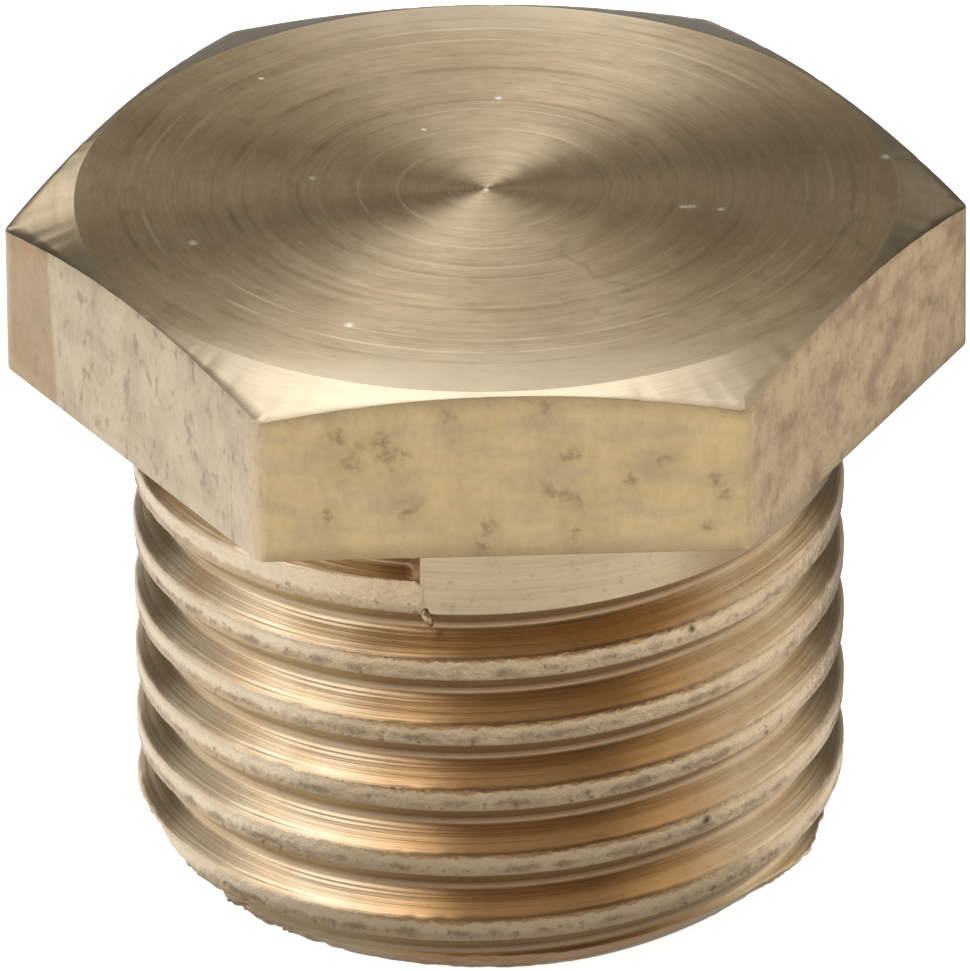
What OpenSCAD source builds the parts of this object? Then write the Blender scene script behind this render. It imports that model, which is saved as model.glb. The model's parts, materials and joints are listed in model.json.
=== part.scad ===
// Hexagon-head plug with a parallel external pipe thread, turned from one bar.
// Millimetres. The head's seat lies at height 0, with the head above it and the shank below.

/* [Head] */
// Width of the hexagon across its flats
head_af = 15; // [14:0.1:22]
// Height of the head above its seat
head_h = 3.25; // [2:0.05:8]
// How much smaller the round top face is than the width across flats
top_margin = 0.1; // [0.05:0.05:1.5]
// Slope of the corner chamfer below the top face, in degrees
chamfer_slope = 20; // [10:1:40]

/* [Thread] */
// Diameter over the thread's crests
crest_d = 12.85; // [11:0.05:13.2]
// Distance from one turn of the thread to the next
pitch = 1.337; // [1.2:0.001:2]
// Depth of the groove below the crests
groove_depth = 0.68; // [0.4:0.01:0.75]
// Angle between the two flanks of the groove, in degrees
flank_angle = 55; // [50:1:60]
// Radius at the bottom of the groove
root_r = 0.18; // [0.05:0.01:0.2]
// Distance from the collar down to the groove's upper edge, where the groove begins
groove_gap = 0.09; // [0.02:0.01:3]
// Direction from the axis in which the groove begins, in degrees from +X
start_angle = 257; // [0:1:359]

/* [Shank] */
// Length from the seat to the end face
shank_l = 9.5; // [6:0.1:20]
// Height of the plain collar under the seat
collar_h = 0.4; // [0.1:0.05:3]
// How far the collar stands out beyond the crests
collar_step = 0.02; // [0.01:0.01:0.2]
// Size of the chamfer at the end, along the axis and across it
end_chamfer = 0.78; // [0.3:0.01:1.5]

/* [Fineness] */
// Flat faces around one turn of the thread
turn_steps = 48; // [24:4:72]
// Flat faces around the bottom of the groove
root_steps = 3; // [1:1:5]

/* [Hidden] */
$fn = 96;
trim_margin = 1;

crest_r = crest_d / 2;
groove_start = collar_h + groove_gap;
corner_r = head_af / (2 * cos(30));
top_r = (head_af - top_margin) / 2;
chamfer_r = corner_r + trim_margin;
chamfer_drop = (chamfer_r - top_r) * tan(chamfer_slope);

// Section of the groove, as [radius, height from its upper edge], from the upper edge to the lower one
half_angle = flank_angle / 2;
root_turn = 90 - half_angle;
root_centre = crest_r - groove_depth + root_r;
flank_run = crest_r - root_centre + root_r / sin(half_angle);
groove_w = 2 * flank_run * tan(half_angle);
root_arc = [
  for (k = [0 : root_steps])
    let (a = root_turn * (1 - 2 * k / root_steps))
      [root_centre - root_r * cos(a), root_r * sin(a) - groove_w / 2]
];
groove_section = concat([[crest_r, 0]], root_arc, [[crest_r, -groove_w]]);
last = len(groove_section) - 1;

// The groove is followed downwards, step by step, until it has left the end face
groove_steps = ceil(turn_steps * (shank_l - groove_start) / pitch) + 1;
line_steps = groove_steps + turn_steps;
core_top = head_h / 2;
core_bottom = -groove_start - pitch * line_steps / turn_steps - trim_margin;

function step_angle(i) = start_angle - 360 * i / turn_steps;
function step_height(i) = -groove_start - pitch * i / turn_steps;
function around(r, i, z) = [r * cos(step_angle(i)), r * sin(step_angle(i)), z];

// Places in the point list of the upper rim, the lower rim and the section's points at each step.
// The lower side of a crest is the groove's upper edge one turn later.
function upper(i) = i % turn_steps;
function lower(i) = turn_steps + i % turn_steps;
function edge(i) = 2 * turn_steps + i;
function spot(i, j) =
  j == 0 ? edge(i)
  : j > last ? edge(i + turn_steps)
  : edge(line_steps) + 1 + i * last + j - 1;

// Triangles from one point to each stretch of a line of points, where points on it lie in a row
function fan(hub, rim) = [for (k = [0 : len(rim) - 2]) [hub, rim[k], rim[k + 1]]];

module hex_head() {
  intersection() {
    cylinder(r = corner_r, h = head_h, $fn = 6);
    rotate_extrude()
      polygon([
        [0, 0],
        [chamfer_r, 0],
        [chamfer_r, head_h - chamfer_drop],
        [top_r, head_h],
        [0, head_h]
      ]);
  }
}

module collar() {
  translate([0, 0, -collar_h])
    cylinder(r = crest_r + collar_step, h = collar_h);
}

// Round bar with the helical groove cut into it, longer than the shank at both ends
module threaded_bar() {
  rims = [
    for (z = [core_top, core_bottom], i = [0 : turn_steps - 1])
      around(crest_r, i, z)
  ];
  edges = [for (i = [0 : line_steps]) around(crest_r, i, step_height(i))];
  grooves = [
    for (i = [0 : groove_steps], j = [1 : last])
      around(groove_section[j][0], i, step_height(i) + groove_section[j][1])
  ];
  turns = [
    for (i = [0 : groove_steps - 1], j = [0 : last])
      [spot(i, j), spot(i, j + 1), spot(i + 1, j + 1), spot(i + 1, j)]
  ];
  upper_wall = [
    for (i = [0 : turn_steps - 2])
      [upper(i), edge(i), edge(i + 1), upper(i + 1)]
  ];
  lower_wall = [
    for (i = [groove_steps + 1 : line_steps - 1])
      [edge(i), lower(i), lower(i + 1), edge(i + 1)]
  ];
  beside_start = fan(
    edge(turn_steps - 1),
    [edge(turn_steps), spot(0, last), edge(0), upper(0), upper(turn_steps - 1)]
  );
  beside_end = fan(
    edge(groove_steps + 1),
    [
      edge(groove_steps),
      spot(groove_steps, last),
      edge(line_steps),
      lower(groove_steps),
      lower(groove_steps + 1)
    ]
  );
  caps = [
    [for (i = [0 : turn_steps - 1]) upper(i)],
    [for (i = [turn_steps - 1 : -1 : 0]) lower(i)],
    [for (j = [last : -1 : 0]) spot(0, j)],
    [for (j = [0 : last]) spot(groove_steps, j)]
  ];
  polyhedron(
    points = concat(rims, edges, grooves),
    faces = concat(turns, upper_wall, lower_wall, beside_start, beside_end, caps),
    convexity = 12
  );
}

// Space inside which the shank lies, with the end face and its chamfer
module shank_envelope() {
  rotate_extrude()
    polygon([
      [0, -shank_l],
      [crest_r - end_chamfer, -shank_l],
      [crest_r + trim_margin, -shank_l + end_chamfer + trim_margin],
      [crest_r + trim_margin, head_h],
      [0, head_h]
    ]);
}

module plug() {
  color("#b39a62") {
    hex_head();
    collar();
    intersection() {
      threaded_bar();
      shank_envelope();
    }
  }
}

plug();
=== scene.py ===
import bmesh
import bpy
import json
import math
from mathutils import Matrix, Vector, noise


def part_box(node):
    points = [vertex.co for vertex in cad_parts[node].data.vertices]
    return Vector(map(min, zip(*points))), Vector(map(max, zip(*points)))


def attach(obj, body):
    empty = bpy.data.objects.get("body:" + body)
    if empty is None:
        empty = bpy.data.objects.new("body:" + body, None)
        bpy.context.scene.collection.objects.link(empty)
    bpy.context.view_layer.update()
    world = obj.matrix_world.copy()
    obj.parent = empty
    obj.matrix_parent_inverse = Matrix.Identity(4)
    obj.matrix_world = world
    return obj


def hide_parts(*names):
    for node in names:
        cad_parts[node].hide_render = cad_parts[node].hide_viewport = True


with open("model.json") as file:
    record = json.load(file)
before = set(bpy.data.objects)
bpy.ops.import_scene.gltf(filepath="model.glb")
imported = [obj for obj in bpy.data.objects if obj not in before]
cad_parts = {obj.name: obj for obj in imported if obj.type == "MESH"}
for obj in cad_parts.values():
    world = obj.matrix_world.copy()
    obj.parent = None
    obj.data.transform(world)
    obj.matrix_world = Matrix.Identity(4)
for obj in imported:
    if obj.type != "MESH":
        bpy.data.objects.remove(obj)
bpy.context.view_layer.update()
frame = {"record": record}

mm = 0.001
turn = 2 * math.pi
sameSpot = 0.002 * mm    # points nearer than this are one point
low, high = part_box("plug")
mounts = {mount["name"]: mount for mount in frame["record"]["mounts"]}
print("frame loaded, plug box in mm", [round(x / mm, 3) for x in (*low, *high)])

# The plug's finishes, in the order of its material slots
finishes = ["turnedTop", "turnedChamfer", "barFlat", "turnedCollar", "threadCrest", "threadGroove", "cutEnd"]
finishNumber = {name: number for number, name in enumerate(finishes)}

thread = {
    "crestR": mounts["thread"]["dims"]["r_mm"] * mm,
    "collarR": mounts["collar"]["dims"]["r_mm"] * mm,
    "collarH": mounts["collar"]["dims"]["length_mm"] * mm,
    "endZ": low[2],
    "pitch": 1.337 * mm,
    "grooveDepth": 0.44 * mm,     # worn shallower and rounder than the solid's groove
    "flankAngle": math.radians(80),
    "rootR": 0.17 * mm,
    "shoulderR": 0.2 * mm,        # rounding from the lower flank to the crest
    "grooveGap": 0.09 * mm,       # from the collar down to the groove's upper edge
    "startAngle": math.radians(257),
    "turnSteps": 360,             # one degree each, so that columns fall on the hexagon's corners
    "rootSteps": 6,
    "shoulderSteps": 6,
    "upperCuts": 2,
    "lowerCuts": 8,
    "ridgeHeight": 0.0045 * mm,   # tool marks that stand out of the lower flank
    "ridgeNoise": (0.77, 0.3, 0.6),
    "runIn": math.radians(50),    # the groove deepens over this angle from its start
    "runInShare": 0.52,           # the groove's size at its start, as a share
    "runInEnd": math.radians(2),  # and over this angle it comes out to the surface
    "crestRunIn": math.radians(15),
    "burrAngle": math.radians(258.1),    # the burr hangs where the first crest ends
    "burrDrop": 0.05 * mm,
    "burrWidth": 0.18 * mm,
    "burrHeight": 0.34 * mm,
    "burrLean": 0.06 * mm,
    "burrLumps": 0.4,
    "burrFiner": 1.7,
    "crestCuts": 4,
    "crestRoll": 0.012 * mm,      # how far the lower half of a crest is rolled over
    "rollStart": 0.4,             # share of the crest that stays upright
    "crestSplit": 0.012 * mm,     # a fine split where the rolled part begins
    "splitPlace": 0.6,
    "splitWidth": 0.2,
    "crestWear": 0.02 * mm,       # how far worn spots sink into the crests
    "wearSize": 0.3 * mm,
    "wearFiner": 3,
    "wearReach": 0.12 * mm,       # below the crests' outside
    "wearStart": 1.2 * mm,        # the wear begins this far from the groove's start
    "endChamfer": 0.84 * mm,
    "endCuts": [                  # where the chamfer is deeper or shallower: angle, half-width, change
        (195, 20, 0.3 * mm),
        (308, 34, 0.1 * mm),
        (333, 8, -0.15 * mm),
        (352, 12, 0.15 * mm),
    ],
    "endTorn": [(214, 40, 1.0), (335, 26, 0.7), (262, 30, 0.3)],    # angle, half-width, how much
    "tornDepth": 0.16 * mm,
    "tornSize": 0.22 * mm,
    "tornFiner": 2.3,
    "endRings": 8,
    "edgeBevel": 0.02 * mm,
    "softSpan": (-0.05, 0.9),     # left without a bevel at the groove's start, in pitches below its edge
    "bandTilt": 0.05,
    "bandAngle": math.radians(5),
}
rollR = thread["crestR"] - thread["crestRoll"]    # the crests' lower edge
grooveTop = thread["collarH"] + thread["grooveGap"]
halfAngle = thread["flankAngle"] / 2
rootCentre = thread["crestR"] - thread["grooveDepth"] + thread["rootR"]
flankRun = thread["crestR"] - rootCentre + thread["rootR"] / math.sin(halfAngle)
grooveWidth = 2 * math.tan(halfAngle) * flankRun
shoulderDrop = thread["shoulderR"] * math.tan((turn / 4 - halfAngle) / 2)    # from the groove's lower edge

head = {
    "acrossFlats": high[1] - low[1] - sameSpot,
    "topZ": high[2],
    "topR": 7.38 * mm,
    "chamferSlope": math.radians(20),
    "flatRows": 8,
    "chamferRings": 4,
    "topRings": 16,
    "seatRings": 2,
    "cornerBevel": 0.12 * mm,
    "seatBevel": 0.02 * mm,
    "rimBevel": 0.005 * mm,
    "rimWear": 0.02 * mm,         # how uneven the chamfer's lower edge is
    "rimWearSize": 0.3 * mm,
    "sharpAngle": math.radians(15),
    "dimpleDepth": 0.015 * mm,    # left by the tool at the middle of the top face
}


def polar(radius, angle, z):
    return Vector((radius * math.cos(angle), radius * math.sin(angle), z))


def angleOf(vert):
    return math.atan2(vert.co.y, vert.co.x)


def radiusOf(vert):
    return math.hypot(vert.co.x, vert.co.y)


def hexRadius(angle):  # from the axis to the hexagon's side in that direction
    fromFlat = angle % (turn / 6) - turn / 12
    return head["acrossFlats"] / 2 / math.cos(fromFlat)


def hexTop(angle):  # height at which the chamfer meets the flat, a little uneven
    radius = hexRadius(angle)
    uneven = head["rimWear"] * noise.noise(polar(radius, angle, 0) / head["rimWearSize"])
    return head["topZ"] - (radius - head["topR"]) * math.tan(head["chamferSlope"]) + min(uneven, 0)


def arc(centre, radius, fromAngle, toAngle, steps):  # points in a section, as radius and height
    points = []
    for k in range(steps + 1):
        a = fromAngle + (toAngle - fromAngle) * k / steps
        points.append((centre[0] + radius * math.cos(a), centre[1] + radius * math.sin(a)))
    return points


def grooveSection():  # along one pitch: upper edge, root, lower flank, shoulder and crest
    rootTurn = turn / 4 - halfAngle
    bottom = (rootCentre, -grooveWidth / 2)
    root = arc(bottom, thread["rootR"], turn / 2 - rootTurn, turn / 2 + rootTurn, thread["rootSteps"])
    middle = (thread["crestR"] - thread["shoulderR"], -grooveWidth - shoulderDrop)
    shoulder = arc(middle, thread["shoulderR"], rootTurn, 0, thread["shoulderSteps"])
    return [(rollR, 0), *root, *shoulder, (rollR, -thread["pitch"])]


def smooth(share):
    share = min(max(share, 0.0), 1.0)
    return share * share * (3 - 2 * share)


def bump(angle, middle, halfWidth):  # 1 at a middle given in degrees, and 0 beyond the half-width
    away = abs((math.degrees(angle) - middle + 180) % 360 - 180)
    return smooth(1 - away / halfWidth)


def twoNoises(spot, finer):  # a coarse noise with half as much of a finer one
    return noise.noise(spot) + 0.5 * noise.noise(spot * finer)


def cutEdge(bm, edge, cuts, place):  # new points along an edge, each moved to its place
    made = bmesh.ops.subdivide_edges(bm, edges=[edge], cuts=cuts)["geom_inner"]
    line = sorted(parts(made, "BMVert"), key=lambda v: -v.co.z)
    for number, vert in enumerate(line):
        vert.co = place(vert, (number + 1) / (cuts + 1))


def shapeSection(bm, edges):  # cut the section finely, raise tool marks on the lower flank and roll the crest
    def ridge(vert, share):
        step, *seed = thread["ridgeNoise"]
        number = round(share * (thread["lowerCuts"] + 1))
        side = 1 if number % 2 else -1
        lift = side * thread["ridgeHeight"] * (1 + noise.noise((number * step, *seed)))
        outer = radiusOf(vert) + lift * math.sin(halfAngle)
        return polar(outer, thread["startAngle"], vert.co.z + lift * math.cos(halfAngle))

    def roll(vert, share):
        sink = thread["crestRoll"] * smooth((share - thread["rollStart"]) / (1 - thread["rollStart"]))
        sink += thread["crestSplit"] * smooth(1 - abs(share - thread["splitPlace"]) / thread["splitWidth"])
        return polar(thread["crestR"] - sink, thread["startAngle"], vert.co.z)

    cutEdge(bm, edges[0], thread["upperCuts"], lambda vert, share: vert.co)
    cutEdge(bm, edges[1 + thread["rootSteps"]], thread["lowerCuts"], ridge)
    cutEdge(bm, edges[-1], thread["crestCuts"], roll)


def alongLine(bm):  # the points of a single line, from its upper end to its lower one
    line = [max(bm.verts, key=lambda v: v.co.z)]
    while len(line) < len(bm.verts):
        beside = [e.other_vert(line[-1]) for e in line[-1].link_edges]
        line.append(next(v for v in beside if v not in line))
    return line


def parts(geom, kind):
    return [g for g in geom if isinstance(g, getattr(bmesh.types, kind))]


def allOf(bm):
    return bm.verts[:] + bm.edges[:] + bm.faces[:]


def growRing(bm, loop, place, finish):  # extrude a closed loop, and put each new point at its place
    grown = bmesh.ops.extrude_edge_only(bm, edges=loop)["geom"]
    ring = set(parts(grown, "BMVert"))
    for vert in ring:
        vert.co = place(vert)
    for face in parts(grown, "BMFace"):
        face.material_index = finishNumber[finish]
    return [e for e in parts(grown, "BMEdge") if e.verts[0] in ring and e.verts[1] in ring]


def closeRing(bm, loop, middle, finish):  # the innermost ring shrinks to a point
    last = growRing(bm, loop, lambda vert: vert.co, finish)
    bmesh.ops.pointmerge(bm, verts=list({v for e in last for v in e.verts}), merge_co=middle)


def boundaryAt(bm, z):  # the open edges that lie at one height
    return [e for e in bm.edges if e.is_boundary and all(abs(v.co.z - z) < sameSpot for v in e.verts)]


def windThread(bm):  # wind one turn of the section, then copy it down the shank
    line = [
        bm.verts.new(polar(radius, thread["startAngle"], drop - grooveTop))
        for radius, drop in grooveSection()
    ]
    edges = [bm.edges.new(pair) for pair in zip(line, line[1:])]
    shapeSection(bm, edges)
    firstColumn = alongLine(bm)
    bmesh.ops.spin(
        bm,
        geom=bm.verts[:] + bm.edges[:],
        cent=(0, 0, 0),
        axis=(0, 0, 1),
        dvec=(0, 0, -thread["pitch"] / thread["turnSteps"]),
        angle=-turn,
        steps=thread["turnSteps"],
    )
    oneTurn = allOf(bm)
    turns = math.ceil((-thread["endZ"] - grooveTop) / thread["pitch"])
    for number in range(1, turns):
        copied = bmesh.ops.duplicate(bm, geom=oneTurn)["geom"]
        fall = (0, 0, -number * thread["pitch"])
        bmesh.ops.translate(bm, vec=fall, verts=parts(copied, "BMVert"))
    for vert in bm.verts:  # the groove deepens from its start
        travel = (thread["startAngle"] - angleOf(vert) + sameSpot) % turn
        upperZ = -grooveTop - thread["pitch"] * travel / turn
        drop = upperZ - vert.co.z
        inGroove = drop < grooveWidth + shoulderDrop + sameSpot
        if not inGroove and drop < thread["pitch"] + sameSpot and travel < thread["crestRunIn"]:
            outer = rollR + smooth(travel / thread["crestRunIn"]) * (radiusOf(vert) - rollR)
            vert.co = polar(outer, angleOf(vert), vert.co.z)
        if inGroove and sameSpot < travel < thread["runIn"]:
            share = 1 - (1 - thread["runInShare"]) * (1 - smooth(travel / thread["runIn"]))
            middleZ = upperZ - grooveWidth / 2
            depth = share * smooth(travel / thread["runInEnd"]) * (thread["crestR"] - radiusOf(vert))
            outer = min(rollR, thread["crestR"] - depth)
            vert.co = polar(outer, angleOf(vert), middleZ + share * (vert.co.z - middleZ))
    wallZ = sorted((v.co.z for v in firstColumn), reverse=True)
    for vert, z in zip(firstColumn, wallZ):  # the groove begins with a short wall
        vert.co = polar(rollR, thread["startAngle"], z)
    bmesh.ops.remove_doubles(bm, verts=bm.verts[:], dist=sameSpot)
    for face in bm.faces:
        onCrest = all(radiusOf(v) > rollR - thread["crestSplit"] - sameSpot for v in face.verts)
        face.material_index = finishNumber["threadCrest" if onCrest else "threadGroove"]


def fromSeam(vert):  # distance from the upright line at which the groove begins
    start = polar(rollR, thread["startAngle"], 0)
    below = max(0, -grooveTop - thread["pitch"] - vert.co.z)
    return math.hypot(vert.co.x - start.x, vert.co.y - start.y, below)


def closeRunIn(bm):  # fill from the groove's upper edge to the collar, and weld it beside the first wall
    lowest = -grooveTop - thread["pitch"]
    seam = sorted((v for v in bm.verts if fromSeam(v) < sameSpot), key=lambda v: v.co.z)
    upperEdge = [
        e for e in bm.edges
        if e.is_boundary
        and not (e.verts[0] in seam and e.verts[1] in seam)
        and max(v.co.z for v in e.verts) > lowest + sameSpot
    ]
    grown = bmesh.ops.extrude_edge_only(bm, edges=upperEdge)["geom"]
    for vert in parts(grown, "BMVert"):
        vert.co = polar(rollR, angleOf(vert), -thread["collarH"])
    for face in parts(grown, "BMFace"):
        face.material_index = finishNumber["turnedCollar"]
    side = next(
        e for e in seam[0].link_edges
        if e.other_vert(seam[0]).co.z > -thread["collarH"] - sameSpot
    )
    foot = seam[0]
    for vert in seam[1:]:
        share = (vert.co.z - foot.co.z) / (-thread["collarH"] - foot.co.z)
        foot = bmesh.utils.edge_split(side, foot, share)[1]
        foot.co = vert.co
    bmesh.ops.remove_doubles(bm, verts=bm.verts[:], dist=sameSpot)


def growHead(bm):  # collar, seat, flats, chamfer and top face, ring after ring
    def outTo(radius, z):
        return lambda vert: polar(radius, angleOf(vert), z)

    def onSeat(share):
        def place(vert):
            radius = thread["collarR"] + share * (hexRadius(angleOf(vert)) - thread["collarR"])
            return polar(radius, angleOf(vert), 0)
        return place

    def onFlat(share):
        return lambda vert: Vector((vert.co.x, vert.co.y, share * hexTop(angleOf(vert))))

    def onChamfer(share):
        def place(vert):
            angle = angleOf(vert)
            radius = hexRadius(angle) + share * (head["topR"] - hexRadius(angle))
            return polar(radius, angle, hexTop(angle) + share * (head["topZ"] - hexTop(angle)))
        return place

    loop = boundaryAt(bm, -thread["collarH"])
    for z in (-thread["collarH"], -thread["collarH"] / 2, 0):
        loop = growRing(bm, loop, outTo(thread["collarR"], z), "turnedCollar")
    for k in range(1, head["seatRings"] + 1):
        loop = growRing(bm, loop, onSeat(k / head["seatRings"]), "cutEnd")
    for k in range(1, head["flatRows"] + 1):
        loop = growRing(bm, loop, onFlat(k / head["flatRows"]), "barFlat")
    for k in range(1, head["chamferRings"] + 1):
        loop = growRing(bm, loop, onChamfer(k / head["chamferRings"]), "turnedChamfer")
    for k in range(1, head["topRings"]):
        radius = head["topR"] * (1 - k / head["topRings"])
        loop = growRing(bm, loop, outTo(radius, head["topZ"]), "turnedTop")
    closeRing(bm, loop, (0, 0, head["topZ"] - head["dimpleDepth"]), "turnedTop")


def trimEnd(bm):  # cut the winding off at the end face, chamfer its last turn and tear the edge
    bmesh.ops.bisect_plane(
        bm, geom=allOf(bm), plane_co=(0, 0, thread["endZ"]), plane_no=(0, 0, -1), clear_outer=True
    )
    for vert in bm.verts:
        above = vert.co.z - thread["endZ"]
        if above < 2 * thread["endChamfer"]:
            angle = angleOf(vert)
            spot = vert.co / thread["tornSize"]
            torn = twoNoises(spot, thread["tornFiner"])
            chamfer = thread["endChamfer"] + sum(c * bump(angle, a, w) for a, w, c in thread["endCuts"])
            ragged = max(share * bump(angle, a, w) for a, w, share in thread["endTorn"])
            limit = thread["crestR"] - chamfer + above + thread["tornDepth"] * ragged * torn
            vert.co = polar(min(radiusOf(vert), limit), angle, vert.co.z)
    loop = boundaryAt(bm, thread["endZ"])
    for k in range(thread["endRings"], 1, -1):
        shrink = 1 - 1 / k
        loop = growRing(bm, loop, lambda v: Vector((v.co.x * shrink, v.co.y * shrink, v.co.z)), "cutEnd")
    closeRing(bm, loop, (0, 0, thread["endZ"]), "cutEnd")


def breakEdges(bm):  # take the sharpness off the corners that stand out
    def bevel(edges, offset):
        bmesh.ops.bevel(
            bm, geom=edges, offset=offset, affect="EDGES", segments=2, profile=0.5, material=-1
        )

    def stands(edge):
        if not edge.is_manifold or edge.calc_face_angle() < head["sharpAngle"]:
            return False
        return all(radiusOf(v) > rollR - sameSpot or v.co.z > 0 for v in edge.verts)

    def upright(edge):
        return (edge.verts[0].co - edge.verts[1].co).normalized().z ** 2 > 0.5    # steeper than 45 degrees

    def atStart(edge):  # around the groove's shallow start, which stays soft
        middle = (edge.verts[0].co + edge.verts[1].co) / 2
        travel = (thread["startAngle"] - math.atan2(middle.y, middle.x) + thread["runInEnd"]) % turn
        drop = -middle.z - grooveTop - thread["pitch"] * travel / turn
        above, below = thread["softSpan"]
        return travel < thread["runIn"] and above * thread["pitch"] < drop < below * thread["pitch"]

    def inHead(lowest, highest):
        return [e for e in bm.edges if stands(e) and all(lowest < v.co.z < highest for v in e.verts)]

    bevel([e for e in inHead(-sameSpot, head["topZ"]) if upright(e)], head["cornerBevel"])
    bevel(inHead(-sameSpot, sameSpot), head["seatBevel"])
    rim = inHead(head["topZ"] / 2, 2 * head["topZ"])
    bevel([e for e in rim if not upright(e)], head["rimBevel"])
    inThread = [e for e in bm.edges if max(v.co.z for v in e.verts) < -thread["collarH"] / 2]
    bevel([e for e in inThread if stands(e) and not upright(e) and not atStart(e)], thread["edgeBevel"])


def keepBandFlat(bm):  # the plain band keeps its own shading as far as the broken edges
    bm.normal_update()
    for face in bm.faces:
        upright = abs(face.normal.z) < thread["bandTilt"]
        if upright and face.material_index == finishNumber["turnedCollar"]:
            for edge in face.edges:
                if edge.calc_face_angle(0) > thread["bandAngle"]:
                    edge.smooth = False


def wearCrests(bm):  # worn spots and nicks along the crests
    worn = [finishNumber["threadCrest"], finishNumber["threadGroove"]]
    crests = [f for f in bm.faces if f.material_index in worn]
    for vert in {v for f in crests for v in f.verts}:
        if any(f.material_index == finishNumber["turnedCollar"] for f in vert.link_faces):
            continue
        outermost = smooth(1 - (thread["crestR"] - radiusOf(vert)) / thread["wearReach"])
        outermost *= smooth(fromSeam(vert) / thread["wearStart"])
        spot = vert.co / thread["wearSize"]
        sink = thread["crestWear"] * max(0.0, twoNoises(spot, thread["wearFiner"]))
        vert.co = polar(radiusOf(vert) - outermost * sink, angleOf(vert), vert.co.z)


def addBurr(bm):  # a small lump hangs from the lower edge of the first crest, at its end
    travel = (thread["startAngle"] - thread["burrAngle"]) % turn
    edgeZ = -grooveTop - thread["pitch"] * travel / turn
    middle = polar(rollR, thread["burrAngle"], edgeZ - thread["burrDrop"])
    lump = bmesh.ops.create_icosphere(bm, subdivisions=2, radius=1.0)["verts"]
    for vert in lump:
        point = vert.co * (1 + thread["burrLumps"] * noise.noise(vert.co * thread["burrFiner"]))
        across = thread["burrWidth"] / 2
        down = thread["burrHeight"] / 2
        lean = -thread["burrLean"] * point.z
        vert.co = middle + Vector((across * point.x + lean, across * point.y, down * point.z))
    for face in {f for v in lump for f in v.link_faces}:
        face.material_index = finishNumber["threadCrest"]


def makePlug():
    bm = bmesh.new()
    windThread(bm)
    print("thread wound,", len(bm.faces), "faces")
    closeRunIn(bm)
    growHead(bm)
    print("head grown,", len(bm.faces), "faces")
    trimEnd(bm)
    breakEdges(bm)
    keepBandFlat(bm)
    wearCrests(bm)
    addBurr(bm)
    bmesh.ops.remove_doubles(bm, verts=bm.verts[:], dist=sameSpot / 4)
    bmesh.ops.recalc_face_normals(bm, faces=bm.faces[:])
    for face in bm.faces:
        face.smooth = True
    openEdges = sum(not e.is_manifold for e in bm.edges)
    triangles = sum(len(f.verts) - 2 for f in bm.faces)
    print("plug closed,", triangles, "triangles,", openEdges, "open edges")
    mesh = bpy.data.meshes.new("threadedPlug")
    bm.to_mesh(mesh)
    bm.free()
    piece = bpy.data.objects.new("threadedPlug", mesh)
    bpy.context.collection.objects.link(piece)
    corners = piece.modifiers.new("cornerNormals", "WEIGHTED_NORMAL")
    corners.mode = "FACE_AREA"
    corners.weight = 50
    corners.keep_sharp = True
    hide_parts("plug")
    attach(piece, "root")
    return piece


# Short ways to place nodes. A value is a socket to link, or a constant to set.
def feed(tree, value, socket):
    if isinstance(value, bpy.types.NodeSocket):
        tree.links.new(value, socket)
    else:
        socket.default_value = value


def addNode(tree, kind, **settings):
    node = tree.nodes.new(kind)
    for name, value in settings.items():
        setattr(node, name, value)
    return node


def maths(tree, operation, a, b=0.0):
    node = addNode(tree, "ShaderNodeMath", operation=operation)
    feed(tree, a, node.inputs[0])
    feed(tree, b, node.inputs[1])
    return node.outputs[0]


def vectors(tree, operation, a, b=(0, 0, 0)):
    node = addNode(tree, "ShaderNodeVectorMath", operation=operation)
    feed(tree, a, node.inputs[0])
    feed(tree, b, node.inputs[1])
    return node.outputs["Value" if operation in ("LENGTH", "DISTANCE", "DOT_PRODUCT") else "Vector"]


def span(tree, value, fromLow, fromHigh, toLow=0.0, toHigh=1.0):  # smooth step from one range to another
    node = addNode(tree, "ShaderNodeMapRange", interpolation_type="SMOOTHSTEP")
    for number, given in enumerate((value, fromLow, fromHigh, toLow, toHigh)):
        feed(tree, given, node.inputs[number])
    return node.outputs["Result"]


def blend(tree, share, a, b, how="MIX"):
    node = addNode(tree, "ShaderNodeMix", data_type="RGBA", blend_type=how)
    feed(tree, share, node.inputs[0])
    feed(tree, a, node.inputs[6])
    feed(tree, b, node.inputs[7])
    return node.outputs[2]


def cloud(tree, vector, scale, detail=3.0, roughness=0.55):
    node = addNode(tree, "ShaderNodeTexNoise", noise_dimensions="3D")
    feed(tree, vector, node.inputs["Vector"])
    feed(tree, scale, node.inputs["Scale"])
    feed(tree, detail, node.inputs["Detail"])
    feed(tree, roughness, node.inputs["Roughness"])
    return node.outputs[0]


def split(tree, vector):
    node = addNode(tree, "ShaderNodeSeparateXYZ")
    feed(tree, vector, node.inputs[0])
    return node.outputs


def join(tree, x, y, z):
    node = addNode(tree, "ShaderNodeCombineXYZ")
    for value, socket in zip((x, y, z), node.inputs):
        feed(tree, value, socket)
    return node.outputs[0]


def placeInMm(tree, middle=(0, 0, 0)):  # object coordinates in millimetres from a middle
    coordinates = addNode(tree, "ShaderNodeTexCoord")
    mapping = addNode(tree, "ShaderNodeMapping")
    mapping.inputs["Scale"].default_value = (1 / mm, 1 / mm, 1 / mm)
    mapping.inputs["Location"].default_value = tuple(-m for m in middle)
    tree.links.new(coordinates.outputs["Object"], mapping.inputs["Vector"])
    return mapping.outputs["Vector"]


def aroundAxis(tree, place):  # distance from the axis, and the direction away from it
    axes = split(tree, place)
    flat = join(tree, axes[0], axes[1], 0.0)
    radius = vectors(tree, "LENGTH", flat)
    return radius, vectors(tree, "NORMALIZE", flat)


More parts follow.
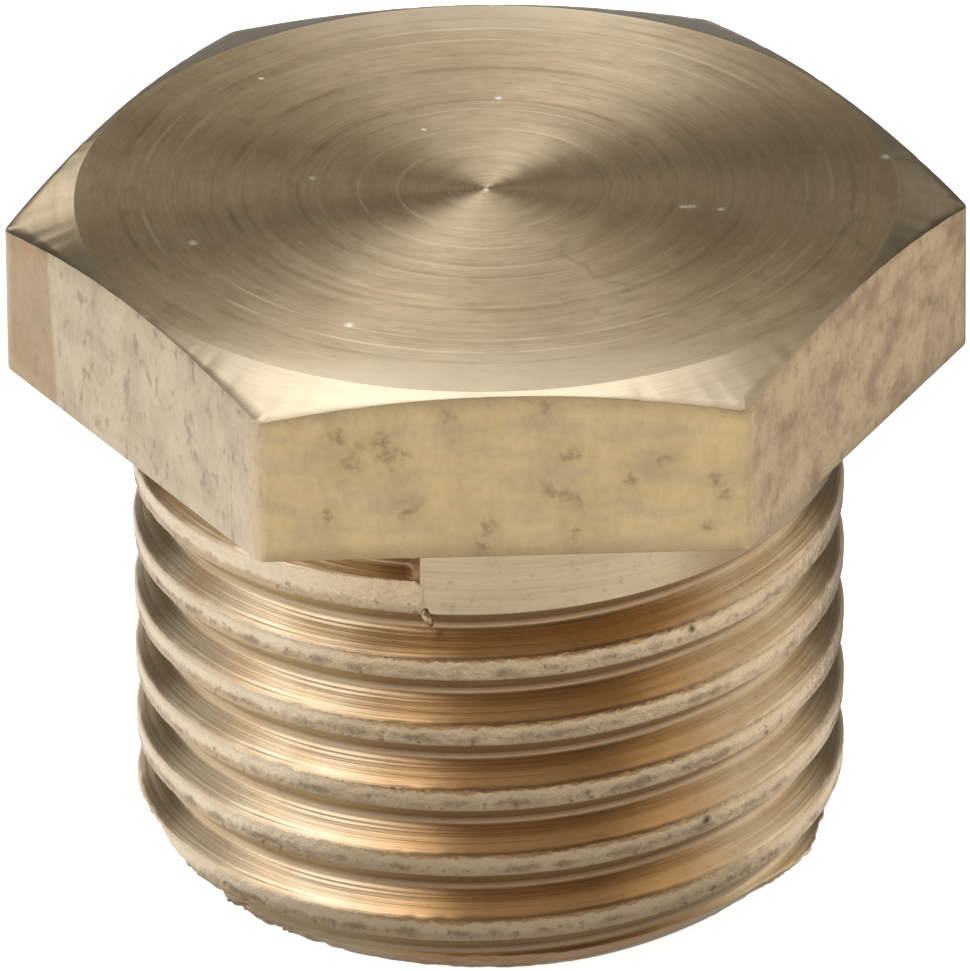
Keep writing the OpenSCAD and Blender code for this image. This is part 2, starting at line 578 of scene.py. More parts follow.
def newGroup(name, inputs, outputs):
    group = bpy.data.node_groups.new(name, "ShaderNodeTree")
    for label, kind in inputs:
        group.interface.new_socket(name=label, in_out="INPUT", socket_type="NodeSocket" + kind)
    for label, kind in outputs:
        group.interface.new_socket(name=label, in_out="OUTPUT", socket_type="NodeSocket" + kind)
    entry = group.nodes.new("NodeGroupInput")
    leave = group.nodes.new("NodeGroupOutput")
    return group, entry.outputs, leave.inputs


def useGroup(tree, group, **values):
    node = tree.nodes.new("ShaderNodeGroup")
    node.node_tree = group
    for name, value in values.items():
        feed(tree, value, node.inputs[name])
    return node.outputs


def makeToolLines():  # lines left by a turning tool: close together across, long the other way
    group, given, result = newGroup(
        "toolLines",
        [("across", "Float"), ("place", "Vector"), ("acrossPerMm", "Float"), ("alongPerMm", "Float")],
        [("fine", "Float"), ("broad", "Float")],
    )
    slow = vectors(group, "SCALE", given["place"])
    feed(group, given["alongPerMm"], slow.node.inputs["Scale"])
    axes = split(group, slow)
    fineAcross = maths(group, "MULTIPLY", given["across"], given["acrossPerMm"])
    feed(group, cloud(group, join(group, fineAcross, axes[0], axes[1]), 1.0, 2.0, 0.7), result["fine"])
    broadAcross = maths(group, "MULTIPLY", fineAcross, 0.13)
    feed(group, cloud(group, join(group, broadAcross, axes[0], axes[1]), 1.0, 3.0, 0.6), result["broad"])
    return group


def makeTarnish():  # soft patches and small dark flecks, as masks
    group, given, result = newGroup(
        "tarnish",
        [("place", "Vector"), ("patchPerMm", "Float"), ("fleckPerMm", "Float")],
        [("patches", "Float"), ("flecks", "Float")],
    )
    patch = cloud(group, given["place"], given["patchPerMm"], 4.0, 0.6)
    feed(group, span(group, patch, 0.38, 0.7), result["patches"])
    fleck = cloud(group, given["place"], given["fleckPerMm"], 3.0, 0.6)
    feed(group, span(group, fleck, 0.56, 0.72), result["flecks"])
    return group


def makeThreadPhase():  # how far down one pitch a point lies, from a groove's upper edge to the next one
    group, given, result = newGroup("threadPhase", [("place", "Vector")], [("phase", "Float")])
    axes = split(group, given["place"])
    angle = maths(group, "ARCTAN2", axes[1], axes[0])
    turns = maths(group, "MULTIPLY", maths(group, "SUBTRACT", angle, thread["startAngle"]), 1 / turn)
    drop = maths(group, "MULTIPLY", maths(group, "ADD", axes[2], grooveTop / mm), -mm / thread["pitch"])
    feed(group, maths(group, "FRACT", maths(group, "ADD", drop, turns)), result["phase"])
    return group


toolLines = makeToolLines()
tarnish = makeTarnish()
threadPhase = makeThreadPhase()


def newMetal(name, anisotropy=0.0):
    material = bpy.data.materials.new(name)
    material.use_nodes = True
    tree = material.node_tree
    shader = tree.nodes["Principled BSDF"]
    shader.inputs["Metallic"].default_value = 1.0
    shader.inputs["Anisotropic"].default_value = anisotropy
    return material, tree


def finishMetal(material, colour, rough, height, strength, depth, tangent=None):  # relief of a depth in mm
    tree = material.node_tree
    shader = tree.nodes["Principled BSDF"]
    feed(tree, colour, shader.inputs["Base Color"])
    feed(tree, rough, shader.inputs["Roughness"])
    if tangent is not None:
        feed(tree, tangent, shader.inputs["Tangent"])
    relief = addNode(tree, "ShaderNodeBump")
    relief.inputs["Strength"].default_value = strength
    relief.inputs["Distance"].default_value = depth * mm
    feed(tree, height, relief.inputs["Height"])
    tree.links.new(relief.outputs["Normal"], shader.inputs["Normal"])
    return material


def both(tree, a, b):  # two masks together, or one by its weight
    return maths(tree, "MULTIPLY", a, b)


def tint(tree, colour, mask, weight, other):  # another colour where a mask says, by its weight
    return blend(tree, both(tree, mask, weight), colour, other)


def awayFrom(tree, value, middle):
    return maths(tree, "ABSOLUTE", maths(tree, "SUBTRACT", value, middle))


def stirred(tree, place, perMm, amount):  # places shifted about, for ragged edges
    wobble = addNode(tree, "ShaderNodeTexNoise", noise_dimensions="3D")
    wobble.inputs["Scale"].default_value = perMm
    feed(tree, place, wobble.inputs["Vector"])
    shift = vectors(tree, "SUBTRACT", wobble.outputs["Color"], (0.5, 0.5, 0.5))
    shift = vectors(tree, "MULTIPLY", shift, (amount, amount, amount))
    return vectors(tree, "ADD", place, shift)


def spotMask(tree, place, spots):  # spots as x, y, z and radius in mm, each fading out from its middle
    mask = 0.0
    for x, y, z, radius in spots:
        reach = vectors(tree, "DISTANCE", place, (x, y, z))
        mask = maths(tree, "MAXIMUM", span(tree, reach, 0.0, radius * 1.5, 1.0, 0.0), mask)
    return mask


def ringMask(tree, radius, rings):  # rings as radius and half-width in mm
    mask = 0.0
    for middle, halfWidth in rings:
        ring = span(tree, awayFrom(tree, radius, middle), 0.0, halfWidth, 1.0, 0.0)
        mask = maths(tree, "MAXIMUM", ring, mask)
    return mask


def aroundThread(radius, spots):  # places of spots that are given as angle, height and size
    return [(*polar(radius / mm, math.radians(angle), z), size) for angle, z, size in spots]


def bounceTintSide(tree, outward, least=0.0):  # 1 on the side where the thread's painted bounce tint is strongest
    middle = tuple(polar(1, grooveFinish["bounceTintAngle"], 0))
    facing = vectors(tree, "DOT_PRODUCT", outward, middle)
    return span(tree, facing, *grooveFinish["bounceTintEdge"], least, 1.0)


# Places and lengths in mm from the axis
topFinish = {
    "turningMiddle": (0.02, 0.28, 0),
    "bright": (0.63, 0.51, 0.335, 1),
    "dull": (0.54, 0.43, 0.27, 1),
    "brown": (0.42, 0.30, 0.185, 1),
    "stain": (0.25, 0.18, 0.11, 1),
    "glint": (0.85, 0.74, 0.55, 1),
    "spark": (1, 0.93, 0.8, 1),
    "anisotropy": 0.88,
    "paleRings": [(1.6, 0.05), (2.3, 0.04), (3.05, 0.03), (5.75, 0.04), (6.2, 0.07)],
    "rimHighlight": (5.4, 7.3),              # painted highlight: the face pales between these radii, in front and at the back, where its bright reflection falls
    "darkRings": [(3.4, 0.06), (4.65, 0.13), (6.6, 0.08)],
    "tarnished": (3.1, -1.9, 1.75),     # a patch with a dark edge: middle and radius
    "dimmed": (5.7, 0.5, 2.6),          # a darker stretch: middle and radius
    "nicks": [
        (-3.07, 0.84, 0.08), (-5.3, -1.52, 0.09), (7.25, 1.1, 0.09), (-2.62, -4.75, 0.09),
        (-3.87, 4.75, 0.06), (3.5, -0.6, 0.06), (3.56, -0.6, 0.06), (3.63, -0.6, 0.07), (3.7, -0.6, 0.07),
        (4.2, -0.74, 0.07), (0.38, 3.73, 0.07), (-1.0, 2.6, 0.05), (0.02, 0.26, 0.07),
    ],
}


def makeTurnedTop():
    material, tree = newMetal("turnedTop", topFinish["anisotropy"])
    place = placeInMm(tree, topFinish["turningMiddle"])
    fromAxis = placeInMm(tree)
    radius, outward = aroundAxis(tree, place)
    lines = useGroup(tree, toolLines, across=radius, place=place, acrossPerMm=18.0, alongPerMm=0.12)
    dashes = useGroup(tree, toolLines, across=radius, place=place, acrossPerMm=7.0, alongPerMm=1.6)
    marks = useGroup(tree, tarnish, place=place, patchPerMm=0.45, fleckPerMm=1.5)
    broken = span(tree, cloud(tree, place, 0.5), 0.38, 0.58)
    colour = blend(tree, span(tree, lines["fine"], 0.4, 0.75), topFinish["bright"], topFinish["dull"])
    colour = tint(tree, colour, marks["patches"], 0.44, topFinish["brown"])
    colour = tint(tree, colour, marks["flecks"], 0.2, topFinish["stain"])
    colour = tint(tree, colour, span(tree, dashes["fine"], 0.5, 0.72), 0.22, topFinish["stain"])
    colour = tint(tree, colour, span(tree, dashes["fine"], 0.48, 0.3), 0.14, topFinish["glint"])
    dark = both(tree, ringMask(tree, radius, topFinish["darkRings"]), broken)
    colour = tint(tree, colour, dark, 0.4, topFinish["stain"])
    pale = both(tree, ringMask(tree, radius, topFinish["paleRings"]), broken)
    colour = tint(tree, colour, pale, 0.5, topFinish["glint"])
    # painted highlight: glint colour towards the front and back of the rim
    rim = both(tree, radius, maths(tree, "ABSOLUTE", split(tree, outward)[1]))
    colour = blend(tree, span(tree, rim, *topFinish["rimHighlight"], 0.0, 0.55), colour, topFinish["glint"])
    x, y, size = topFinish["tarnished"]
    ragged = stirred(tree, fromAxis, 0.9, 1.3)
    reach = vectors(tree, "DISTANCE", ragged, (x, y, high[2] / mm))
    colour = blend(tree, span(tree, reach, size * 0.7, size, 0.22, 0.0), colour, topFinish["brown"])
    edge = span(tree, awayFrom(tree, reach, size), 0.0, 0.12, 0.25, 0.0)
    fromPatch = vectors(tree, "SUBTRACT", fromAxis, (x, y, high[2] / mm))
    facing = vectors(tree, "DOT_PRODUCT", fromPatch, (-0.8 / size, -0.6 / size, 0))
    edge = both(tree, edge, span(tree, facing, 0.6, 0.9))
    colour = blend(tree, edge, colour, topFinish["stain"])
    x, y, size = topFinish["dimmed"]
    dimmed = spotMask(tree, stirred(tree, fromAxis, 0.6, 1.5), [(x, y, high[2] / mm, size)])
    colour = tint(tree, colour, dimmed, 0.4, topFinish["stain"])
    # small nicks: a bump each, painted bright in the spark colour as painted highlights (glints)
    nicks = spotMask(tree, fromAxis, [(x, y, high[2] / mm, size) for x, y, size in topFinish["nicks"]])
    colour = blend(tree, nicks, colour, topFinish["spark"])
    rough = span(tree, lines["broad"], 0.3, 0.7, 0.38, 0.46)
    height = maths(tree, "ADD", lines["fine"], both(tree, nicks, 10.0))
    return finishMetal(material, colour, rough, height, 0.22, 0.004, outward)


chamferFinish = {
    "bright": (0.54, 0.45, 0.32, 1),
    "dull": (0.50, 0.41, 0.28, 1),
    "brown": (0.33, 0.245, 0.16, 1),
    "anisotropy": 0.5,
}


def makeTurnedChamfer():
    material, tree = newMetal("turnedChamfer", chamferFinish["anisotropy"])
    place = placeInMm(tree)
    radius, outward = aroundAxis(tree, place)
    lines = useGroup(tree, toolLines, across=radius, place=place, acrossPerMm=9.0, alongPerMm=0.3)
    marks = useGroup(tree, tarnish, place=place, patchPerMm=1.2, fleckPerMm=3.0)
    colour = blend(tree, span(tree, lines["fine"], 0.4, 0.75), chamferFinish["bright"], chamferFinish["dull"])
    # darker flecks and patches, towards the back only
    atBack = span(tree, split(tree, place)[1], -2.5, 0.0)
    blotches = maths(tree, "MAXIMUM", marks["flecks"], both(tree, marks["patches"], 0.6))
    colour = blend(tree, both(tree, blotches, both(tree, atBack, 0.4)), colour, chamferFinish["brown"])
    rough = span(tree, lines["broad"], 0.3, 0.7, 0.2, 0.28)
    return finishMetal(material, colour, rough, lines["fine"], 0.1, 0.003, outward)


# Flats as drawn bar, each tarnished in its own way, in mm; the -X flat's paler, greyer tone is also painted
# light, standing in for the cooler, brighter light it reflects. Stains are x, z and radius on the front flat.
flatFinish = {
    "golden": (0.61, 0.455, 0.235, 1),
    "beige": (0.62, 0.48, 0.295, 1),
    "dark": (0.25, 0.195, 0.14, 1),
    "pale": (0.605, 0.495, 0.345, 1),     # the flat on the -X side, paler as painted light
    "grey": (0.38, 0.30, 0.215, 1),
    "tan": (0.49, 0.36, 0.20, 1),         # the flat on the +X side
    "reddish": (0.28, 0.18, 0.10, 1),
    "copper": (0.37, 0.26, 0.15, 1),
    "orange": (0.44, 0.285, 0.15, 1),
    "brown": (0.22, 0.14, 0.08, 1),
    "cornerX": 4.33,
    "cornerBlend": 0.3,
    "stripWidth": 1.77,
    "stripLean": 0.096,
    "stains": [
        (-2.93, 2.46, 0.16), (-2.53, 2.32, 0.12), (-2.15, 2.33, 0.20), (-1.99, 2.06, 0.22),
        (-1.72, 2.05, 0.10), (-2.67, 1.97, 0.20), (-1.75, 0.94, 0.17), (-1.57, 1.02, 0.12),
        (-0.25, 0.59, 0.16), (-0.40, 0.17, 0.14), (-0.97, 2.87, 0.14), (0.75, 2.95, 0.12),
        (0.81, 1.32, 0.13), (1.20, 2.05, 0.15), (1.08, 1.19, 0.14), (1.31, 1.11, 0.13),
        (1.30, 0.46, 0.12), (2.22, 1.46, 0.12), (2.86, 1.87, 0.13), (3.77, 1.43, 0.17),
        (3.92, 1.15, 0.13), (3.6, 0.5, 0.13), (-3.1, 0.95, 0.14), (4.2, 2.88, 0.09),
    ],
}


def makeBarFlat():
    material, tree = newMetal("barFlat")
    place = placeInMm(tree)
    axes = split(tree, place)
    corner = flatFinish["cornerX"]
    soft = flatFinish["cornerBlend"]
    onLeft = span(tree, axes[0], -corner - soft, -corner + soft, 1.0, 0.0)
    onRight = span(tree, axes[0], corner - soft, corner + soft)
    upright = join(tree, axes[0], axes[1], both(tree, axes[2], 0.55))
    streaks = useGroup(tree, tarnish, place=upright, patchPerMm=1.3, fleckPerMm=4.5)
    level = join(tree, both(tree, axes[0], 0.3), both(tree, axes[1], 0.3), axes[2])
    bands = useGroup(tree, tarnish, place=level, patchPerMm=2.2, fleckPerMm=5.0)
    grain = span(tree, cloud(tree, upright, 9.0, 2.0), 0.35, 0.7)

    front = tint(tree, flatFinish["golden"], bands["patches"], 0.7, flatFinish["beige"])
    front = tint(tree, front, streaks["patches"], 0.18, flatFinish["brown"])
    spots = [(x, low[1] / mm, z, size) for x, z, size in flatFinish["stains"]]
    stains = spotMask(tree, stirred(tree, place, 5.0, 0.45), spots)
    stains = both(tree, stains, span(tree, cloud(tree, place, 11.0, 3.0), 0.3, 0.6, 0.25, 1.0))
    front = tint(tree, front, stains, 0.65, flatFinish["brown"])
    hazes = spotMask(tree, stirred(tree, place, 1.5, 0.8), [(x, y, z, 3 * size) for x, y, z, size in spots])
    front = tint(tree, front, hazes, 0.14, flatFinish["brown"])

    # the -X flat: a paler base as painted light, with grey patches and dark flecks of tarnish
    left = tint(tree, flatFinish["pale"], streaks["patches"], 0.5, flatFinish["grey"])
    left = tint(tree, left, streaks["flecks"], 0.55, flatFinish["dark"])
    fromEdge = both(tree, axes[1], -1 / math.cos(turn / 12))
    border = maths(tree, "SUBTRACT", flatFinish["stripWidth"], both(tree, axes[2], flatFinish["stripLean"]))
    strip = span(tree, maths(tree, "SUBTRACT", border, fromEdge), -0.12, 0.06)
    strip = both(tree, strip, span(tree, fromEdge, 0.0, 0.3))
    copper = blend(tree, streaks["patches"], flatFinish["copper"], flatFinish["orange"])
    left = tint(tree, left, strip, 0.75, copper)

    mottle = useGroup(tree, tarnish, place=place, patchPerMm=1.3, fleckPerMm=5.0)
    right = tint(tree, flatFinish["tan"], mottle["patches"], 0.85, flatFinish["reddish"])
    right = tint(tree, right, mottle["flecks"], 0.5, flatFinish["brown"])
    right = tint(tree, right, streaks["flecks"], 0.3, flatFinish["brown"])

    colour = blend(tree, onRight, blend(tree, onLeft, front, left), right)
    colour = tint(tree, colour, grain, 0.1, flatFinish["brown"])
    rough = span(tree, bands["patches"], 0.0, 1.0, 0.38, 0.46)
    return finishMetal(material, colour, rough, maths(tree, "ADD", streaks["flecks"], grain), 0.25, 0.005)


collarFinish = {
    "pale": (0.58, 0.46, 0.295, 1),
    "dull": (0.49, 0.385, 0.245, 1),
    "grey": (0.36, 0.275, 0.175, 1),
    "brown": (0.30, 0.21, 0.115, 1),      # painted shade on the +X side, under the head's overhang
}


def makeTurnedCollar():
    material, tree = newMetal("turnedCollar", 0.4)
    place = placeInMm(tree)
    axes = split(tree, place)
    lines = useGroup(tree, toolLines, across=axes[2], place=place, acrossPerMm=16.0, alongPerMm=0.35)
    marks = useGroup(tree, tarnish, place=place, patchPerMm=0.8, fleckPerMm=5.0)
    colour = blend(tree, span(tree, lines["fine"], 0.4, 0.75), collarFinish["pale"], collarFinish["dull"])
    colour = tint(tree, colour, marks["patches"], 0.3, collarFinish["dull"])
    colour = tint(tree, colour, marks["flecks"], 0.45, collarFinish["grey"])
    # painted shade: the band turns brown on the +X side, where the head shades it
    onRight = span(tree, split(tree, aroundAxis(tree, place)[1])[0], 0.42, 0.66)
    colour = tint(tree, colour, onRight, 0.85, collarFinish["brown"])
    rough = span(tree, lines["broad"], 0.3, 0.7, 0.28, 0.36)
    return finishMetal(material, colour, rough, lines["fine"], 0.2, 0.004, join(tree, 0.0, 0.0, 1.0))


grooveShare = grooveWidth / thread["pitch"]    # of one turn's height, before the crest begins

grooveFinish = {
    "bright": (0.71, 0.58, 0.40, 1),
    "dull": (0.59, 0.45, 0.275, 1),
    # painted shade in the groove's root, darkest on the front side; the lighter side colour stands in for
    # lamp light elsewhere
    "root": (0.34, 0.22, 0.10, 1),
    "side": (0.46, 0.325, 0.155, 1),
    "orange": (0.63, 0.345, 0.135, 1),
    "rootHighlight": (0.54, 0.43, 0.31, 1),       # painted highlight: a paler line at the bottom of the groove
    "rootHighlightPlace": 0.46,                   # share of the groove's width above it
    "bounceTintAngle": math.radians(277),    # the side on which the groove is most orange, as painted reflection of light bounced between the flanks
    "bounceTintEdge": (0.78, 0.97),
    "stain": (0.30, 0.18, 0.09, 1),
    "startShade": (256, -0.95, 0.7),      # painted shade under the head where the groove starts: angle, height and radius
    "anisotropy": 0.6,
}


def makeThreadGroove():
    material, tree = newMetal("threadGroove", grooveFinish["anisotropy"])
    place = placeInMm(tree)
    outward = aroundAxis(tree, place)[1]
    phase = useGroup(tree, threadPhase, place=place)["phase"]
    across = both(tree, phase, thread["pitch"] / mm)
    lines = useGroup(tree, toolLines, across=across, place=place, acrossPerMm=13.0, alongPerMm=0.2)
    marks = useGroup(tree, tarnish, place=place, patchPerMm=0.8, fleckPerMm=5.0)
    colour = blend(tree, span(tree, lines["fine"], 0.35, 0.7), grooveFinish["bright"], grooveFinish["dull"])
    # orange on the front side as painted reflection of light bounced between the flanks, and in tarnish
    # patches elsewhere
    inFront = bounceTintSide(tree, outward)
    tarnished = maths(tree, "MAXIMUM", inFront, both(tree, marks["patches"], 0.3))
    colour = tint(tree, colour, tarnished, 0.85, grooveFinish["orange"])
    # painted shade: the groove's root is darkened, less so away from the front where the lamps reach it
    shadedRoot = span(tree, phase, 0.4 * grooveShare, 0.65 * grooveShare, 1.0, 0.0)
    root = blend(tree, inFront, grooveFinish["side"], grooveFinish["root"])
    colour = tint(tree, colour, shadedRoot, 0.95, root)
    # painted highlight along the groove's root
    rootHighlight = awayFrom(tree, phase, grooveFinish["rootHighlightPlace"] * grooveShare)
    rootHighlight = span(tree, rootHighlight, 0.02, 0.05, 0.75, 0.0)
    colour = blend(tree, rootHighlight, colour, grooveFinish["rootHighlight"])
    # painted shade where the groove starts under the head
    start = spotMask(tree, place, aroundThread(rollR, [grooveFinish["startShade"]]))
    colour = tint(tree, colour, start, 0.8, grooveFinish["stain"])
    colour = tint(tree, colour, marks["patches"], 0.2, grooveFinish["stain"])
    colour = tint(tree, colour, marks["flecks"], 0.2, grooveFinish["stain"])
    rough = span(tree, lines["broad"], 0.3, 0.7, 0.28, 0.38)
    rough = maths(tree, "MAXIMUM", rough, both(tree, shadedRoot, 0.6))
    marked = both(tree, lines["fine"], span(tree, inFront, 0.0, 1.0, 1.0, 0.5))
    return finishMetal(material, colour, rough, marked, 0.9, 0.02, outward)


crestFinish = {
    "pale": (0.63, 0.49, 0.315, 1),
    "side": (0.72, 0.60, 0.43, 1),        # paler on the -X side, as painted light from the lamps there
    "grey": (0.50, 0.38, 0.24, 1),
    "dark": (0.22, 0.15, 0.10, 1),
    "orange": (0.46, 0.28, 0.13, 1),
    "black": (0.09, 0.06, 0.035, 1),
    "nicks": [                    # dark pits, as angle, height and radius
        (302.2, -2.72, 0.09), (306.1, -3.63, 0.10), (304.9, -6.74, 0.11), (324.2, -4.25, 0.07),
        (326.5, -4.33, 0.06), (306.3, -4.57, 0.06), (318.7, -5.57, 0.06), (324.8, -5.76, 0.05),
        (230.1, -2.47, 0.08), (226.0, -3.58, 0.08), (230.9, -3.97, 0.07), (257.1, -3.98, 0.07),
        (261.6, -4.98, 0.06), (283.2, -4.83, 0.06), (270.7, -3.9, 0.06),
    ],
    "foldPlace": 0.68,            # share of the way down at which rolled-over metal leaves a ragged line
    "wander": 0.6,
}


def makeThreadCrest():
    material, tree = newMetal("threadCrest")
    place = placeInMm(tree)
    outward = aroundAxis(tree, place)[1]
    phase = useGroup(tree, threadPhase, place=place)["phase"]
    marks = useGroup(tree, tarnish, place=place, patchPerMm=1.6, fleckPerMm=7.0)
    down = both(tree, maths(tree, "SUBTRACT", phase, grooveShare), 1 / (1 - grooveShare))
    lumps = cloud(tree, place, 4.0, 4.0, 0.6)
    wander = both(tree, maths(tree, "SUBTRACT", lumps, 0.5), crestFinish["wander"])
    ragged = maths(tree, "ADD", down, wander)
    # painted light: crests are paler on the -X side, where the lamps fall
    atLeft = span(tree, split(tree, outward)[0], -0.7, -0.3, 1.0, 0.0)
    pale = blend(tree, atLeft, crestFinish["pale"], crestFinish["side"])
    # the lower part of each crest turns grey: partly pits, partly painted shade where it faces the darker
    # floor near the base
    colour = blend(tree, span(tree, ragged, 0.5, 0.8), pale, crestFinish["grey"])
    fromFold = awayFrom(tree, ragged, crestFinish["foldPlace"])
    belowStart = span(tree, split(tree, place)[2], -2.0, -1.8, 1.0, 0.0)
    fold = both(tree, span(tree, fromFold, 0.0, 0.28, 1.0, 0.0), belowStart)
    fold = both(tree, fold, span(tree, marks["patches"], 0.1, 0.8))
    colour = tint(tree, colour, fold, 0.6, crestFinish["dark"])
    pits = both(tree, marks["flecks"], span(tree, down, 0.3, 0.6, 0.15, 1.0))
    colour = tint(tree, colour, pits, 0.75, crestFinish["dark"])
    # orange along each crest's upper edge, strongest on the front side: the groove's painted bounce tint
    # carried onto the crest
    rim = both(tree, span(tree, ragged, 0.14, 0.24, 1.0, 0.0), bounceTintSide(tree, outward, 0.2))
    colour = blend(tree, both(tree, rim, belowStart), colour, crestFinish["orange"])
    pitted = aroundThread(thread["crestR"], crestFinish["nicks"])
    nicks = spotMask(tree, stirred(tree, place, 9.0, 0.12), pitted)
    colour = blend(tree, nicks, colour, crestFinish["black"])
    rough = span(tree, marks["patches"], 0.0, 1.0, 0.36, 0.46)
    height = maths(tree, "SUBTRACT", lumps, both(tree, fold, 0.12))
    return finishMetal(material, colour, rough, height, 0.7, 0.06)


endFinish = {
    "bright": (0.52, 0.41, 0.25, 1),
    "dull": (0.36, 0.27, 0.16, 1),
}


def makeCutEnd():
    material, tree = newMetal("cutEnd", 0.5)
    place = placeInMm(tree)
    radius, outward = aroundAxis(tree, place)
    lines = useGroup(tree, toolLines, across=radius, place=place, acrossPerMm=6.0, alongPerMm=0.2)
    colour = blend(tree, span(tree, lines["fine"], 0.35, 0.7), endFinish["bright"], endFinish["dull"])
    rough = span(tree, lines["broad"], 0.3, 0.7, 0.32, 0.48)
    return finishMetal(material, colour, rough, lines["fine"], 0.4, 0.008, outward)


view = {
    "azimuth": math.radians(268),
    "elevation": math.radians(27.97),
    "distance": 0.376,
    "lens": 778.6,
    "sensor": 36.0,
    "roll": math.radians(-0.5),    # the plug leans a little in the photo
    "picture": (970, 971),
    "topPixel": (485.8, 195.3),    # the middle of the top face in the photo
}


def towards(azimuth, elevation):
    return Vector((
        math.cos(elevation) * math.cos(azimuth),
        math.cos(elevation) * math.sin(azimuth),
        math.sin(elevation),
    ))


def makeCamera():
    width, height = view["picture"]
    focal = view["lens"] / view["sensor"] * width
    outward = towards(view["azimuth"], view["elevation"])
    right = Vector((0, 0, 1)).cross(outward).normalized()
    up = outward.cross(right)
    fromMiddle = Vector((view["topPixel"][0] - width / 2, height / 2 - view["topPixel"][1]))
    fromMiddle.rotate(Matrix.Rotation(view["roll"], 2))
    sight = -outward * focal - right * fromMiddle.x - up * fromMiddle.y
    camera = bpy.data.cameras.new("camera")
    camera.lens = view["lens"]
    camera.sensor_width = view["sensor"]
    camera.sensor_fit = "HORIZONTAL"
    holder = bpy.data.objects.new("camera", camera)
    stand = Matrix.Translation(Vector((0, 0, head["topZ"])) + outward * view["distance"])
    aim = sight.to_track_quat("-Z", "Y").to_matrix().to_4x4()
    holder.matrix_world = stand @ aim @ Matrix.Rotation(view["roll"], 4, "Z")
    bpy.context.collection.objects.link(holder)
    bpy.context.scene.camera = holder


# The room's light by height above the horizon, and soft lamps as azimuth, elevation, inner and outer
# half-width in degrees, and colour
studio = {
    "heights": [(0.0, 0.24), (0.25, 0.23), (0.5, 0.17), (0.64, 0.25), (0.78, 0.7), (0.9, 0.75), (1.0, 0.6)],
    "skyTint": (1.0, 0.9, 0.78),
    "frontSky": 0.5,              # share of the sky's light that is left in front of the plug
    "sideSky": 0.45,              # and to the sides
    "lamps": [
        (95, 66, 8, 23, (1.8, 1.9, 2.04)),
        (202, 40, 21, 35, (2.1, 2.15, 2.25)),
        (150, 30, 5, 18, (0.45, 0.46, 0.47)),
        (170, 2, 12, 28, (1.1, 1.12, 1.15)),
        (2, 39, 14, 42, (0.63, 0.59, 0.52)),
        (10, 2, 12, 28, (0.67, 0.66, 0.63)),
        (106, 19, 3, 9, (1.5, 1.44, 1.3)),
        (67, 20, 3, 9, (0.25, 0.24, 0.21)),
        (117, 42, 5, 14, (0.11, 0.1, 0.085)),
        (61, 39, 5, 14, (0.1, 0.09, 0.075)),
    ],
    "floorSize": 1.2,
    "floorGap": 0.01 * mm,
    "floorWhite": (0.9, 0.9, 0.9, 1),
    "floorSeen": 0.85,            # share of white that the camera sees whatever the light
    "floorMirrored": 0.95,        # the same in the metal, near the plug
    "mirroredGrey": (0.3, 0.3, 0.3, 1),
    "floorMiddle": (0.0, -0.025),
    "floorNear": 0.055,
    "floorFar": 0.095,
    "shades": [                   # the plug's shade on the floor: x, y, half-widths and how much it takes
        (0.0, -0.0105, 0.0105, 0.0095, 0.65),
        (0.0115, 0.0105, 0.0075, 0.0085, 0.85),
        (0.017, 0.027, 0.013, 0.018, 0.85),
        (0.019, -0.011, 0.007, 0.008, 0.15),
    ],
}


def makeStudio():
    world = bpy.data.worlds.new("studio")
    world.use_nodes = True
    tree = world.node_tree
    background = tree.nodes["Background"]
    direction = addNode(tree, "ShaderNodeTexCoord").outputs["Generated"]
    ramp = addNode(tree, "ShaderNodeValToRGB")
    stops = ramp.color_ramp.elements
    stops.remove(stops[1])
    for number, (height, level) in enumerate(studio["heights"]):
        stop = stops[0] if number == 0 else stops.new(height)
        stop.position = height
        stop.color = (*(level * tint for tint in studio["skyTint"]), 1)
    axes = split(tree, direction)
    feed(tree, axes[2], ramp.inputs[0])
    aside = maths(tree, "ABSOLUTE", axes[0])
    share = span(tree, aside, 0.12, 0.5, 1.0, studio["sideSky"])
    share = both(tree, share, span(tree, axes[1], -0.6, 0.1, studio["frontSky"], 1.0))
    light = blend(tree, share, (0, 0, 0, 1), ramp.outputs["Color"])
    for azimuth, elevation, inner, outer, colour in studio["lamps"]:
        aim = towards(math.radians(azimuth), math.radians(elevation))
        near = vectors(tree, "DOT_PRODUCT", direction, tuple(aim))
        share = span(tree, near, math.cos(math.radians(outer)), math.cos(math.radians(inner)))
        light = blend(tree, share, light, (*colour, 1), "ADD")
    seen = addNode(tree, "ShaderNodeLightPath").outputs["Is Camera Ray"]
    feed(tree, blend(tree, seen, light, (1, 1, 1, 1)), background.inputs["Color"])
    bpy.context.scene.world = world
    bpy.context.scene.view_settings.view_transform = "Standard"


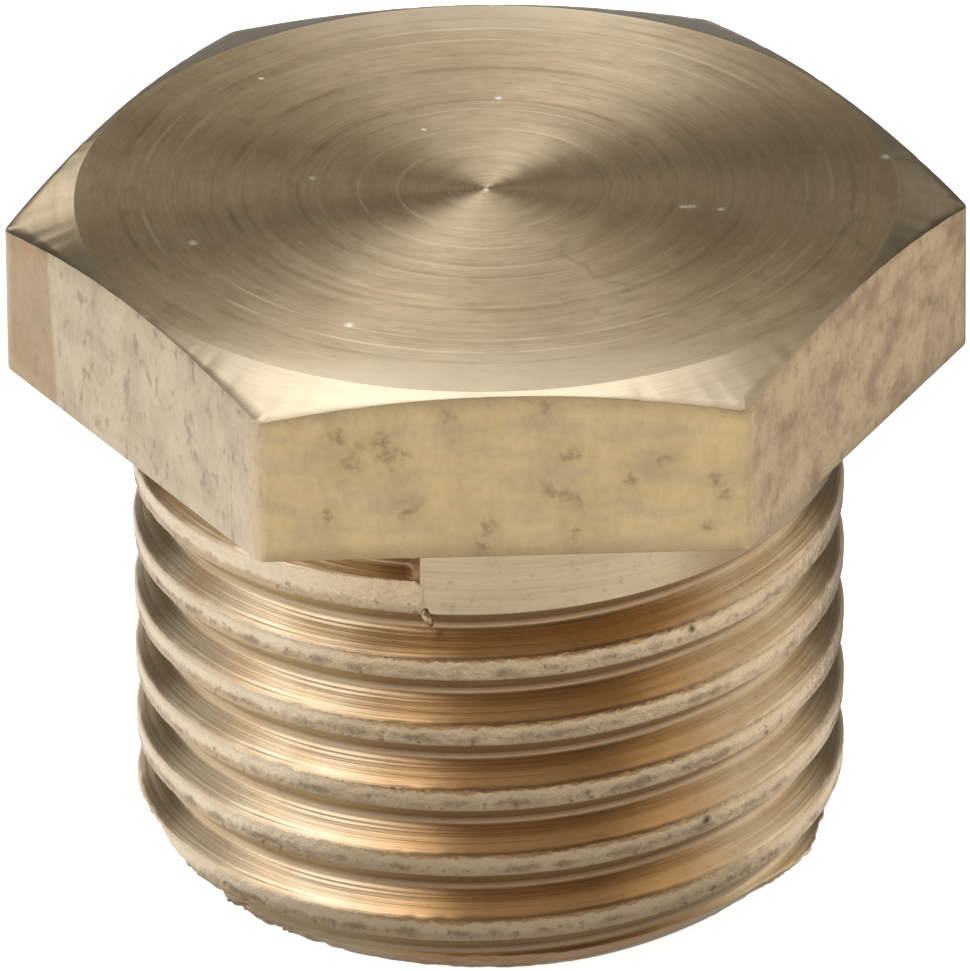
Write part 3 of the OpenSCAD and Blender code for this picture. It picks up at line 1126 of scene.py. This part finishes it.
def makeFloor():
    bm = bmesh.new()
    bmesh.ops.create_grid(bm, x_segments=2, y_segments=2, size=studio["floorSize"])
    bmesh.ops.translate(bm, vec=(0, 0, thread["endZ"] - studio["floorGap"]), verts=bm.verts[:])
    mesh = bpy.data.meshes.new("floor")
    bm.to_mesh(mesh)
    bm.free()
    floor = bpy.data.objects.new("floor", mesh)
    bpy.context.collection.objects.link(floor)
    material = bpy.data.materials.new("floor")
    material.use_nodes = True
    tree = material.node_tree
    shader = tree.nodes["Principled BSDF"]
    shader.inputs["Roughness"].default_value = 1.0
    shader.inputs["Specular IOR Level"].default_value = 0.0
    shader.inputs["Emission Color"].default_value = (1, 1, 1, 1)
    rays = addNode(tree, "ShaderNodeLightPath").outputs
    mirrored = maths(tree, "MAXIMUM", rays["Is Glossy Ray"], rays["Is Transmission Ray"])
    colour = blend(tree, mirrored, studio["floorWhite"], studio["mirroredGrey"])
    feed(tree, colour, shader.inputs["Base Color"])
    place = addNode(tree, "ShaderNodeTexCoord").outputs["Object"]
    away = vectors(tree, "DISTANCE", place, (*studio["floorMiddle"], thread["endZ"]))
    nearby = span(tree, away, studio["floorNear"], studio["floorFar"], studio["floorMirrored"], 0.0)
    for x, y, halfX, halfY, share in studio["shades"]:
        inward = vectors(tree, "SUBTRACT", place, (x, y, thread["endZ"]))
        inward = vectors(tree, "MULTIPLY", inward, (1 / halfX, 1 / halfY, 0))
        reach = vectors(tree, "LENGTH", inward)
        nearby = both(tree, nearby, span(tree, reach, 0.85, 1.12, 1 - share, 1.0))
    mirrored = both(tree, mirrored, nearby)
    seen = both(tree, rays["Is Camera Ray"], studio["floorSeen"])
    feed(tree, maths(tree, "MAXIMUM", seen, mirrored), shader.inputs["Emission Strength"])
    fromBelow = addNode(tree, "ShaderNodeNewGeometry").outputs["Backfacing"]    # it hides nothing from there
    feed(tree, maths(tree, "SUBTRACT", 1.0, fromBelow), shader.inputs["Alpha"])
    mesh.materials.append(material)


plug = makePlug()
for maker in (
    makeTurnedTop,
    makeTurnedChamfer,
    makeBarFlat,
    makeTurnedCollar,
    makeThreadCrest,
    makeThreadGroove,
    makeCutEnd,
):
    plug.data.materials.append(maker())
print("finishes made:", ", ".join(finishes))
makeCamera()
makeStudio()
makeFloor()
print("camera, light and floor placed")
